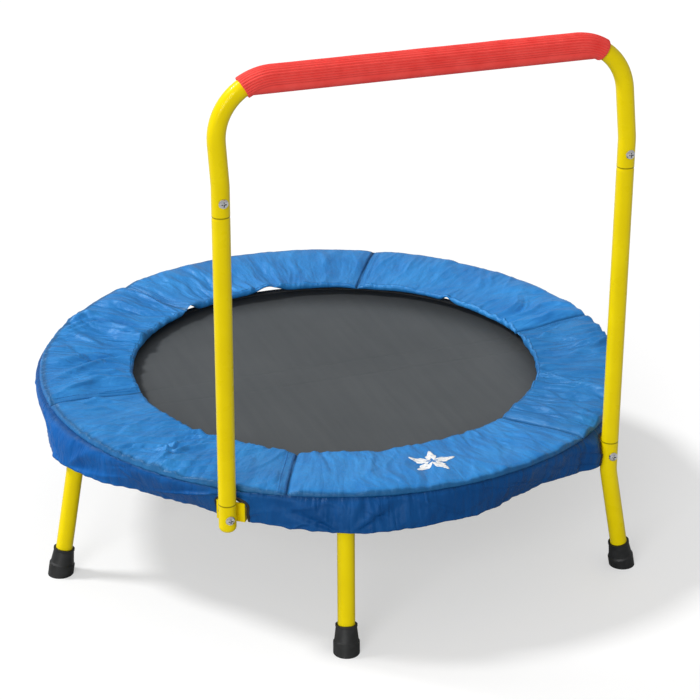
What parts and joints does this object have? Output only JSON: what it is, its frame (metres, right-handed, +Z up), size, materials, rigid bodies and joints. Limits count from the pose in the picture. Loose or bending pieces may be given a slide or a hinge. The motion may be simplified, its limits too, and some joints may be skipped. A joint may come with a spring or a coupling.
{
  "type": "mini trampoline",
  "caption": "Round low trampoline that folds across the middle, with a sprung mat, padded rim and skirt, splayed tube legs and a padded inverted U support bar.",
  "frame": {"origin": "on the floor, below the centre of the ring and of the six feet", "axes": "+X along the support bar, +Y away from the support bar, +Z up"},
  "size_m": [0.9948, 0.9746, 0.8427],
  "materials": {
    "yellow_tube": "gloss",
    "hinge_steel": "gloss",
    "foot_rubber": "matt",
    "grip_foam": "ribbed foam",
    "pad_fabric": "coated nylon",
    "skirt_fabric": "coated nylon",
    "pad_foam": "foam",
    "edge_tape": "woven tape",
    "mat_fabric": "woven polypropylene",
    "mat_webbing": "webbing",
    "spring_steel": "zinc",
    "zinc_fasteners": "bright"
  },
  "bodies": {
    "front_frame": {"front_ring_tube": "yellow_tube", "front_hinge_knuckles": "hinge_steel", "leg_front_left": "yellow_tube", "foot_front_left": "foot_rubber", "leg_bracket_front_left": "yellow_tube", "leg_front_centre": "yellow_tube", "foot_front_centre": "foot_rubber", "leg_bracket_front_centre": "yellow_tube", "leg_bolts_front": "zinc_fasteners", "leg_nuts_front": "zinc_fasteners", "handle_leg": "yellow_tube", "foot_handle_leg": "foot_rubber", "left_socket": "yellow_tube", "left_socket_bracket": "yellow_tube", "right_socket_bracket": "yellow_tube", "upright_left": "yellow_tube", "upright_right": "yellow_tube", "handle_top_bar": "yellow_tube", "handle_grip": "grip_foam", "lower_handle_bolts": "zinc_fasteners", "lower_handle_nuts": "zinc_fasteners", "upper_handle_bolts": "zinc_fasteners", "upper_handle_nuts": "zinc_fasteners", "pad_foam_front": "pad_foam", "pad_cover_front": "pad_fabric", "skirt_front": "skirt_fabric", "skirt_elastic_front": "edge_tape", "skirt_cutout_bindings": "edge_tape", "springs_front": "spring_steel"},
    "hinge_links": {"hinge_link_left": "hinge_steel", "hinge_link_right": "hinge_steel", "hinge_bolts": "zinc_fasteners", "hinge_nuts": "zinc_fasteners"},
    "rear_frame": {"rear_ring_tube": "yellow_tube", "rear_hinge_knuckles": "hinge_steel", "leg_rear_right": "yellow_tube", "foot_rear_right": "foot_rubber", "leg_bracket_rear_right": "yellow_tube", "leg_rear_centre": "yellow_tube", "foot_rear_centre": "foot_rubber", "leg_bracket_rear_centre": "yellow_tube", "leg_rear_left": "yellow_tube", "foot_rear_left": "foot_rubber", "leg_bracket_rear_left": "yellow_tube", "leg_bolts_rear": "zinc_fasteners", "leg_nuts_rear": "zinc_fasteners", "pad_foam_rear": "pad_foam", "pad_cover_rear": "pad_fabric", "skirt_rear": "skirt_fabric", "skirt_elastic_rear": "edge_tape", "springs_rear": "spring_steel"},
    "front_mat": {"mat_front": "mat_fabric", "mat_binding_front": "mat_webbing", "mat_hooks_front": "spring_steel"},
    "centre_mat": {"mat_centre": "mat_fabric", "mat_binding_centre": "mat_webbing"},
    "rear_mat": {"mat_rear": "mat_fabric", "mat_binding_rear": "mat_webbing", "mat_hooks_rear": "spring_steel"}
  },
  "joints": [
    {"name": "front_fold", "type": "hinge", "parent": "front_frame", "child": "hinge_links", "pos_m": [0, -0.027, 0.212], "axis": [1, 0, 0], "range_deg": [0, 88]},
    {"name": "rear_fold", "type": "hinge", "parent": "hinge_links", "child": "rear_frame", "pos_m": [0, 0.027, 0.212], "axis": [1, 0, 0], "range_deg": [0, 88]},
    {"name": "mat_bounce", "type": "slide", "parent": "front_frame", "child": "front_mat", "axis": [0, 0, -1], "range_m": [0, 0.06], "stiffness_N_per_m": 2600, "springref_m": -0.005, "deforming": ["springs_front"]},
    {"name": "centre_mat_bounce", "type": "slide", "parent": "hinge_links", "child": "centre_mat", "axis": [0, 0, -1], "range_m": [0, 0.06], "stiffness_N_per_m": 2600, "springref_m": -0.005},
    {"name": "rear_mat_bounce", "type": "slide", "parent": "rear_frame", "child": "rear_mat", "axis": [0, 0, -1], "range_m": [0, 0.06], "stiffness_N_per_m": 2600, "springref_m": -0.005, "deforming": ["springs_rear"]}
  ],
  "couplings": [
    {"joint": "rear_fold", "follows": "front_fold", "ratio": 1},
    {"joint": "centre_mat_bounce", "follows": "mat_bounce", "ratio": 1},
    {"joint": "rear_mat_bounce", "follows": "mat_bounce", "ratio": 1}
  ]
}
